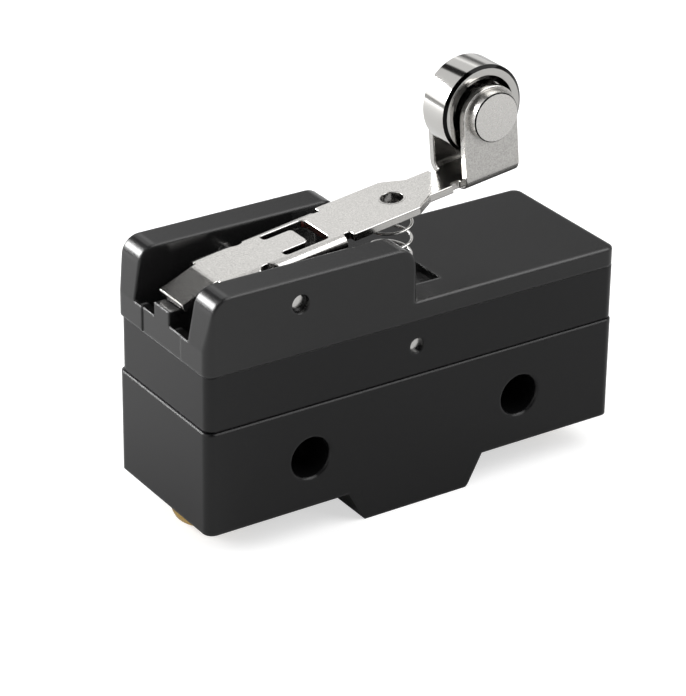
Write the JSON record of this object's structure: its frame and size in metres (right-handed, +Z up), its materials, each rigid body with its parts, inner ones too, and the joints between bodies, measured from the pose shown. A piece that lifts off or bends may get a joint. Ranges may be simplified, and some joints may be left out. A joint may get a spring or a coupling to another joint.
{
  "type": "hinge roller lever micro switch",
  "caption": "Black moulded snap-action switch with a folded steel hinge lever, a roller in a fork, a return spring and screw terminals underneath.",
  "frame": {"origin": "midway between the two mounting holes on their common line, at the middle of the body's width", "axes": "+X along the body towards the roller end, +Y across the body along the mounting holes, +Z up towards the lever"},
  "size_m": [0.0492, 0.0174, 0.0431],
  "materials": {
    "black_moulding": "black moulded thermoset, satin gloss",
    "stainless_sheet": "fine-grained satin stainless sheet",
    "polished_steel": "turned and polished steel",
    "rivet_steel": "satin steel",
    "pin_steel": "ground steel",
    "spring_wire": "bright spring wire",
    "plunger_plastic": "moulded plastic",
    "spring_copper": "rolled spring copper",
    "contact_silver": "silver",
    "terminal_brass": "stamped brass",
    "screw_brass": "turned brass",
    "washer_steel": "plated steel"
  },
  "bodies": {
    "body": {"case": "black_moulding", "cover": "black_moulding", "lever_housing": "black_moulding", "hinge_pin": "pin_steel", "cover_pin": "pin_steel", "return_spring": "spring_wire", "blade_bracket": "terminal_brass", "blade_rivet": "terminal_brass", "com_terminal": "terminal_brass", "no_terminal": "terminal_brass", "nc_terminal": "terminal_brass", "no_contact": "contact_silver", "nc_contact": "contact_silver", "com_screw": "screw_brass", "no_screw": "screw_brass", "nc_screw": "screw_brass", "com_washer": "washer_steel", "no_washer": "washer_steel", "nc_washer": "washer_steel"},
    "lever": {"lever": "stainless_sheet", "roller_rivet": "rivet_steel"},
    "roller": {"roller": "polished_steel"},
    "plunger": {"plunger": "plunger_plastic"},
    "blade": {"snap_blade": "spring_copper", "bow_spring": "spring_copper", "moving_contact": "contact_silver"}
  },
  "joints": [
    {"name": "lever_hinge", "type": "hinge", "parent": "body", "child": "lever", "pos_m": [-0.01404, 0, 0.0173], "axis": [0, 1, 0], "range_deg": [0, 11.6], "stiffness_Nm_per_rad": 0.15, "springref_deg": -4.01, "deforming": ["return_spring"]},
    {"name": "roller_spin", "type": "hinge", "parent": "lever", "child": "roller", "pos_m": [0.01176, 0, 0.02948], "axis": [0, 1, 0], "continuous": true},
    {"name": "plunger_slide", "type": "slide", "parent": "body", "child": "plunger", "axis": [0, 0, -1], "range_m": [0, 0.00066]},
    {"name": "blade_tilt", "type": "hinge", "parent": "body", "child": "blade", "pos_m": [-0.01767, 0, 0.005], "axis": [0, 1, 0], "range_deg": [0, 1.15]}
  ],
  "couplings": [
    {"joint": "plunger_slide", "follows": "lever_hinge", "m_per_rad": 0.00318},
    {"joint": "blade_tilt", "follows": "lever_hinge", "ratio": 0.0975}
  ]
}
